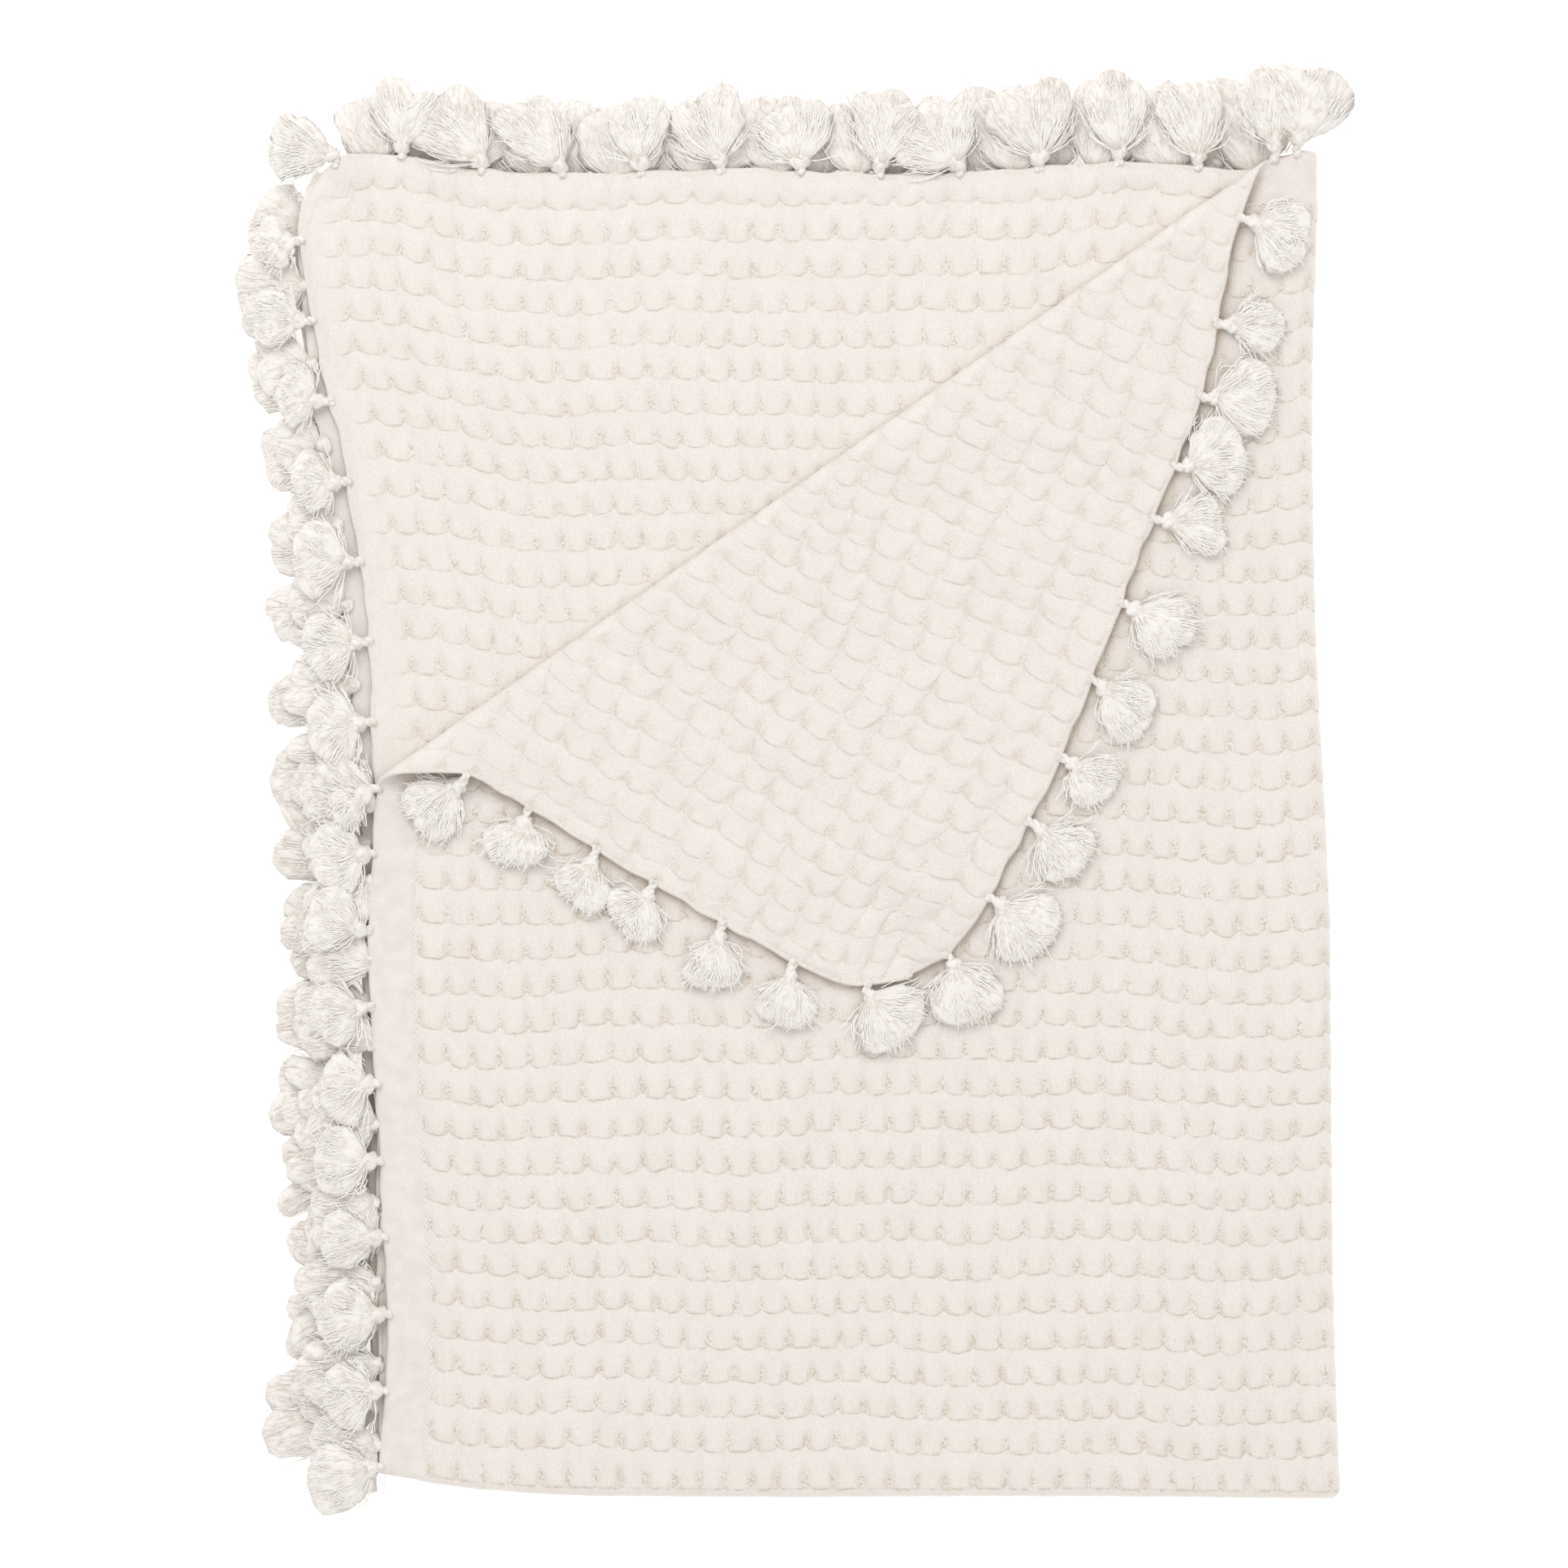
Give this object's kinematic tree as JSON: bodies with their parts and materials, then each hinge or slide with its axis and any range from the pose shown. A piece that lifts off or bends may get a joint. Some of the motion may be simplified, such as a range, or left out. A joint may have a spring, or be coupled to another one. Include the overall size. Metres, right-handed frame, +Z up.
{
  "type": "folded waffle baby blanket",
  "caption": "Waffle-weave cotton baby blanket lying folded flat, its top corner turned back, with knotted tassels along every hem.",
  "frame": {"origin": "middle of the whole part's outline, on the surface it lies on", "axes": "+X to the picture's right (away from the tasselled left hems), +Y to the picture's top, +Z up off the surface"},
  "size_m": [0.432, 0.561, 0.0217],
  "materials": {
    "ivory_cotton_waffle": "soft matte ivory cotton, waffle weave with a plain turned hem",
    "white_cotton_yarn": "soft matte off-white cotton yarn"
  },
  "bodies": {
    "root": {"cloth": "ivory_cotton_waffle", "tassels_under_left": "white_cotton_yarn", "tassels_under_top": "white_cotton_yarn", "tassels_third_left": "white_cotton_yarn", "tassels_third_top": "white_cotton_yarn", "tassels_second_left": "white_cotton_yarn", "tassels_second_top": "white_cotton_yarn", "tassels_top_left": "white_cotton_yarn", "tassel_corner_01": "white_cotton_yarn", "tassel_corner_02": "white_cotton_yarn", "tassel_corner_03": "white_cotton_yarn", "tassel_corner_04": "white_cotton_yarn", "tassel_corner_05": "white_cotton_yarn", "tassel_corner_06": "white_cotton_yarn", "tassel_corner_07": "white_cotton_yarn", "tassel_corner_08": "white_cotton_yarn", "tassel_corner_09": "white_cotton_yarn", "tassel_corner_10": "white_cotton_yarn", "tassel_corner_11": "white_cotton_yarn", "tassel_corner_12": "white_cotton_yarn", "tassel_corner_13": "white_cotton_yarn", "tassel_corner_14": "white_cotton_yarn", "tassel_corner_15": "white_cotton_yarn", "tassel_corner_16": "white_cotton_yarn", "tassel_corner_17": "white_cotton_yarn", "tassel_corner_18": "white_cotton_yarn", "tassel_corner_19": "white_cotton_yarn", "tassel_hem_01": "white_cotton_yarn", "tassel_hem_02": "white_cotton_yarn"}
  },
  "joints": []
}
